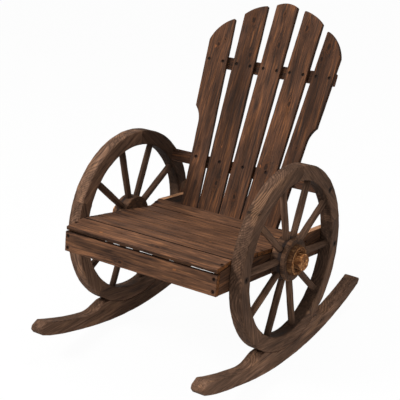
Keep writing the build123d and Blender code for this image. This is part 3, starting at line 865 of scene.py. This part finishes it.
# hubs are turned, the boss on their outer face and the axle's end are hewn and left bare
hubLook = {
    "finish": "hubWood", "segments": 56, "toneSpread": 0.05, "uneven": 0.5 * mm, "unevenScale": 26,
    "chisel": 0.2 * mm, "chiselScale": 120, "arris": 4 * mm, "collar": 13 * mm, "groove": 1.6 * mm,
    "barrelShade": 0.25, "grooveBandShade": 0.95, "band": 9 * mm, "faceShade": 0.85, "unshadedEnd": 9 * mm,
    "between": 2,
}
bossLook = {
    "finish": "rawWood", "segments": 72, "toneSpread": 0.05, "uneven": 0.7 * mm, "unevenScale": 34,
    "chisel": 0.5 * mm, "chiselScale": 170, "facets": 13, "facetDepth": 0.4 * mm, "between": 3,
    "hollow": {"angle": 3.9, "width": 1.05, "depth": 5 * mm, "within": 33 * mm, "behind": 0},
    "creviceShade": 0.35, "sideWallShade": 0.85,
}
stubLook = dict(
    bossLook, segments=56, uneven=0.8 * mm, facets=8, facetDepth=0.6 * mm, chisel=0.35 * mm, between=2,
    tonesAndShade={"axle_stub_left": 0.75, "axle_stub_right": 0.75}, flare=2.4 * mm, creviceShade=0.2, sideWallShade=0,
    # the stub's hollow has no depth: it only paints shade on the stub's wall at the lower front
    hollow={"angle": 3.75, "width": 0.9, "depth": 0, "within": 33 * mm, "behind": 3.5 * mm},
    rays={"count": 7, "depth": 0.3 * mm, "reach": 3 * mm},
)


def hewnRadius(radius, angle, look, seed):
    # flats left by the hatchet, each a little deeper or shallower than the next
    facets = look.get("facets", 0)
    if not facets:
        return radius
    span = 2 * math.pi / facets
    part = (angle % span) / span - 0.5
    number = int(angle // span) % facets
    depth = look["facetDepth"] * (1 + 0.6 * noise.noise(Vector((number * 7.3, seed.x, seed.y))))
    return radius - depth * (1 - 4 * part * part)


def makeTurned(nodeName, side, profile, look):
    # profile rows are radius, distance out along the axle and wear
    way = Vector((sides[side], 0, 0))
    seed = Vector([noise.random() for axis in range(3)]) * 40
    up, back = Vector((0, 0, 1)), Vector((0, 1, 0))
    mesh = bmesh.new()
    arris = mesh.verts.layers.float.new("arris")
    shadeAndGrime = mesh.verts.layers.float.new("shadeAndGrime")
    between = look.get("between", 1)
    levels = [profile[0]]
    for before, after in zip(profile, profile[1:]):
        for number in range(1, between + 1):
            levels.append([a + (b - a) * number / between for a, b in zip(before, after)])
    farOut = max(out for radius, out, wear in profile)
    hollow, rays = look.get("hollow"), look.get("rays")
    rows = []
    for radius, out, wear in levels:
        row = []
        for corner in range(look["segments"]):
            angle = 2 * math.pi * corner / look["segments"]
            spoke = back * math.cos(angle) + up * math.sin(angle)
            place = axle + way * out + spoke * hewnRadius(radius, angle, look, seed)
            chisel = noise.noise(Vector((place.x * 0.5, place.y, place.z)) * look["chiselScale"] + seed)
            sway = noise.noise(place * look["unevenScale"] + seed) * look["uneven"] + chisel * look["chisel"]
            # hollows of the chisel marks are painted darker as shade
            paintedShade = look.get("creviceShade", 0) * max(0, -chisel * 2.2 - 0.1)
            place += (spoke + way * 0.6) * sway * min(1, radius / (20 * mm))
            # the hollow at the lower front is dug in and painted dark as shadow; on the stub it has no depth
            # and only paints shade on the wall
            if hollow and radius < hollow["within"] and out <= farOut - hollow["behind"]:
                deep = math.exp(-((angle - hollow["angle"]) / hollow["width"]) ** 2)
                place -= way * hollow["depth"] * deep
                paintedShade = max(paintedShade, 0.8 * deep)
            # radial cuts on the stub's end, with painted shade in their grooves
            if rays and out > farOut - rays["reach"]:
                wander = 2 * noise.noise(place * 90 + seed)
                cut = math.cos(rays["count"] * angle + wander) * min(1, radius / stubRadius)
                place += way * rays["depth"] * cut
                paintedShade = max(paintedShade, -0.5 * cut)
            # the hub's face round the boss, the band behind the collar and the barrel past its unshaded end
            # are painted darker as shade
            if look is hubLook:
                collarStart = farOut - look["collar"] + 0.1 * mm
                if out > collarStart:
                    paintedShade = look["faceShade"] * (radius < bossRadius)
                elif out > collarStart - look["band"]:
                    paintedShade = look["grooveBandShade"]
                else:
                    paintedShade = look["barrelShade"] * (out > hubStart + look["unshadedEnd"])
            # the boss's outer side wall is painted darker as shade
            elif radius > bossRadius - 5 * mm:
                paintedShade = max(paintedShade, look["sideWallShade"])
            vert = mesh.verts.new(place)
            vert[arris] = wear
            vert[shadeAndGrime] = paintedShade
            row.append(vert)
        rows.append(row)
    joinRows(mesh, rows)
    bmesh.ops.recalc_face_normals(mesh, faces=mesh.faces)
    middle = axle + way * profile[0][1]
    finishMesh(mesh, nodeName, seed, middle, way, back, up, look)


for side, way in sides.items():
    low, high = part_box(f"hub_{side}")
    hubStart = min(abs(low.x), abs(high.x))
    hubEnd = max(abs(low.x), abs(high.x))
    hubRadius = (high.z - low.z) / 2
    bossLow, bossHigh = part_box(f"hub_boss_{side}")
    bossEnd = max(abs(bossLow.x), abs(bossHigh.x))
    bossRadius = (bossHigh.z - bossLow.z) / 2
    stubLow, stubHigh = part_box(f"axle_stub_{side}")
    stubEnd = max(abs(stubLow.x), abs(stubHigh.x))
    stubRadius = (stubHigh.z - stubLow.z) / 2

    arrisWide = hubLook["arris"]
    hubProfile = [(hubRadius - 3 * mm, hubStart, 0.2), (hubRadius, hubStart + 3 * mm, 0.6)]
    barrel = hubEnd - hubStart - hubLook["collar"]
    for number in range(1, 6):
        share = number / 6
        bulge = hubLook["groove"] * (math.sin(math.pi * share) - 1)
        hubProfile.append((hubRadius + bulge, hubStart + barrel * share, 0))
    hubProfile.append((hubRadius - hubLook["groove"], hubStart + barrel, 0))
    hubProfile.append((hubRadius - 0.2 * mm, hubStart + barrel + 2 * mm, 0.5))
    for number in range(4):
        turn = math.pi / 2 * number / 3
        hubProfile.append((
            hubRadius - arrisWide + arrisWide * math.cos(turn) - 0.8 * mm,
            hubEnd - arrisWide + arrisWide * math.sin(turn), 0.3 + 0.5 * math.sin(2 * turn),
        ))
    hubProfile += [(bossRadius + 6 * mm, hubEnd - 0.6 * mm, 0), (bossRadius - 4 * mm, hubEnd - 0.4 * mm, 0)]
    makeTurned(f"hub_{side}", side, hubProfile, hubLook)

    bossProfile = [
        (bossRadius - 1 * mm, hubEnd - 3 * mm, 0), (bossRadius - 0.3 * mm, hubEnd + 2 * mm, 0.1),
        (bossRadius - 1.6 * mm, (hubEnd + bossEnd) / 2, 0.2), (bossRadius - 4 * mm, bossEnd - 4 * mm, 0.5),
        (bossRadius - 6 * mm, bossEnd - 1.4 * mm, 0.9), (bossRadius - 9.5 * mm, bossEnd - 0.4 * mm, 0.5),
        (stubRadius + 9 * mm, bossEnd - 1 * mm, 0.2), (stubRadius + 4 * mm, bossEnd - 3.5 * mm, 0),
        (stubRadius + 1 * mm, bossEnd - 8 * mm, 0), (stubRadius - 4 * mm, bossEnd - 9 * mm, 0),
    ]
    makeTurned(f"hub_boss_{side}", side, bossProfile, bossLook)

    flare = stubLook["flare"]
    stubProfile = [
        (stubRadius - 2 * mm, hubStart, 0), (stubRadius - 0.8 * mm, hubEnd, 0),
        (stubRadius, bossEnd - 4 * mm, 0), (stubRadius + flare * 0.5, (bossEnd + stubEnd) / 2, 0.2),
        (stubRadius + flare, stubEnd - 4 * mm, 0.7), (stubRadius + flare - 1.6 * mm, stubEnd - 1.4 * mm, 1),
        (stubRadius - 4 * mm, stubEnd - 0.5 * mm, 0.4), (stubRadius * 0.45, stubEnd - 0.9 * mm, 0),
        (stubRadius * 0.12, stubEnd - 1.4 * mm, 0),
    ]
    makeTurned(f"axle_stub_{side}", side, stubProfile, stubLook)
print("hubs made")

# screws: countersunk heads with a cross slot, at the bottom of their holes
screwLook = {
    "radius": 3.4 * mm, "sink": 3.2 * mm, "dome": 0.35 * mm, "slotDepth": 0.9 * mm, "shank": 1.9 * mm,
    "length": 20 * mm, "corners": 16,
}


def addScrew(mesh, head, normal):
    side = normal.orthogonal().normalized()
    turn = Matrix.Rotation(noise.random() * math.pi, 3, normal)
    first = turn @ side
    second = normal.cross(first)
    base = head - normal * screwLook["sink"]
    wide, dome = screwLook["radius"], screwLook["dome"]
    rows = []
    for radius, lift, squareness in (
        (screwLook["shank"], -screwLook["length"], 0), (screwLook["shank"], -2.6 * mm, 0),
        (wide, -0.2 * mm, 0), (wide * 0.94, dome * 0.5, 0), (wide * 0.72, dome, 0), (wide * 0.55, dome, 1),
        (wide * 0.3, -screwLook["slotDepth"], 1),
    ):
        row = []
        for corner in range(screwLook["corners"]):
            angle = 2 * math.pi * corner / screwLook["corners"]
            out = first * math.cos(angle) + second * math.sin(angle)
            reach = radius * (1 - 0.55 * squareness * abs(math.sin(2 * angle)))
            row.append(mesh.verts.new(base + out * reach + normal * lift))
        rows.append(row)
    joinRows(mesh, rows)


for nodeName, spots in screwSpots.items():
    mesh = bmesh.new()
    for head, normal in spots:
        addScrew(mesh, head, normal)
    bmesh.ops.recalc_face_normals(mesh, faces=mesh.faces)
    data = bpy.data.meshes.new(nodeName)
    mesh.to_mesh(data)
    mesh.free()
    screwSet = bpy.data.objects.new(nodeName + "_heads", data)
    bpy.context.scene.collection.objects.link(screwSet)
    data.materials.append(screwSteel)
    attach(screwSet, "root")
    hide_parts(nodeName)
    print(nodeName, len(spots))

# camera at the photograph's place, worked out from the wheels in the photograph
cameraView = {
    "place": Vector((1657.5, -2390.4, 1239.7)) * mm, "azimuth": 35.061, "elevation": 21.152,
    "lens": 94.32, "sensor": 36, "farthest": 50,
}
cameraData = bpy.data.cameras.new("camera")
cameraData.lens = cameraView["lens"]
cameraData.sensor_width = cameraView["sensor"]
cameraData.clip_end = cameraView["farthest"]
camera = bpy.data.objects.new("camera", cameraData)
camera.location = axle + cameraView["place"]
camera.rotation_euler = (math.radians(90 - cameraView["elevation"]), 0, math.radians(cameraView["azimuth"]))
bpy.context.scene.collection.objects.link(camera)
bpy.context.scene.camera = camera

# floor, daylight and soft boxes
studio = {
    "floorHalf": 8, "floorColour": srgb(238, 238, 238), "floorGlow": 0.965, "worldLevel": 0.3,
    "lampTarget": (0, 0, 0.45),
}


def seenRays(tree):
    # rays that show the background itself, straight, in a reflection or through something clear
    path = tree.nodes.new("ShaderNodeLightPath").outputs
    direct = calc(tree, "MAXIMUM", path["Is Camera Ray"], path["Is Glossy Ray"])
    return calc(tree, "MAXIMUM", direct, path["Is Transmission Ray"])


def makeFloor():
    half = studio["floorHalf"]
    data = bpy.data.meshes.new("floor")
    corners = [(-half, -half, 0), (half, -half, 0), (half, half, 0), (-half, half, 0)]
    data.from_pydata(corners, [], [(0, 1, 2, 3)])
    floor = bpy.data.objects.new("floor", data)
    bpy.context.scene.collection.objects.link(floor)
    material = bpy.data.materials.new("floorPaint")
    material.use_nodes = True
    tree = material.node_tree
    shader = tree.nodes["Principled BSDF"]
    shader.inputs["Base Color"].default_value = studio["floorColour"]
    shader.inputs["Roughness"].default_value = 0.9
    glow = tree.nodes.new("ShaderNodeEmission")
    mix = tree.nodes.new("ShaderNodeMixShader")
    tree.links.new(calc(tree, "MULTIPLY", seenRays(tree), studio["floorGlow"]), mix.inputs[0])
    tree.links.new(shader.outputs[0], mix.inputs[1])
    tree.links.new(glow.outputs[0], mix.inputs[2])
    tree.links.new(mix.outputs[0], tree.nodes["Material Output"].inputs["Surface"])
    data.materials.append(material)


makeFloor()
world = bpy.data.worlds.new("daylight")
world.use_nodes = True
bpy.context.scene.world = world
sky = world.node_tree
background = sky.nodes["Background"]
background.inputs["Color"].default_value = (1, 1, 1, 1)
sky.links.new(calc(sky, "MAXIMUM", seenRays(sky), studio["worldLevel"]), background.inputs["Strength"])

softBoxes = {
    "key": {"place": (-1.6, -2.2, 2.8), "power": 112, "size": 1.2},
    "fill": {"place": (2.8, -1.4, 1.5), "power": 24, "size": 2.0},
    "top": {"place": (0.2, 0.6, 3.2), "power": 34, "size": 1.6},
}
for name, box in softBoxes.items():
    lampData = bpy.data.lights.new(name, "AREA")
    lampData.energy = box["power"]
    lampData.shape = "DISK"
    lampData.size = box["size"]
    lamp = bpy.data.objects.new(name, lampData)
    lamp.location = box["place"]
    aim = Vector(studio["lampTarget"]) - Vector(box["place"])
    lamp.rotation_euler = aim.to_track_quat("-Z", "Y").to_euler()
    bpy.context.scene.collection.objects.link(lamp)
bpy.context.scene.view_settings.view_transform = "Standard"
print("camera and lights made")

for nodeName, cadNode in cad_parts.items():
    if not cadNode.hide_render:
        cadNode.data.materials.clear()
        cadNode.data.materials.append(screwSteel if "screws" in nodeName else woods["hubWood"])
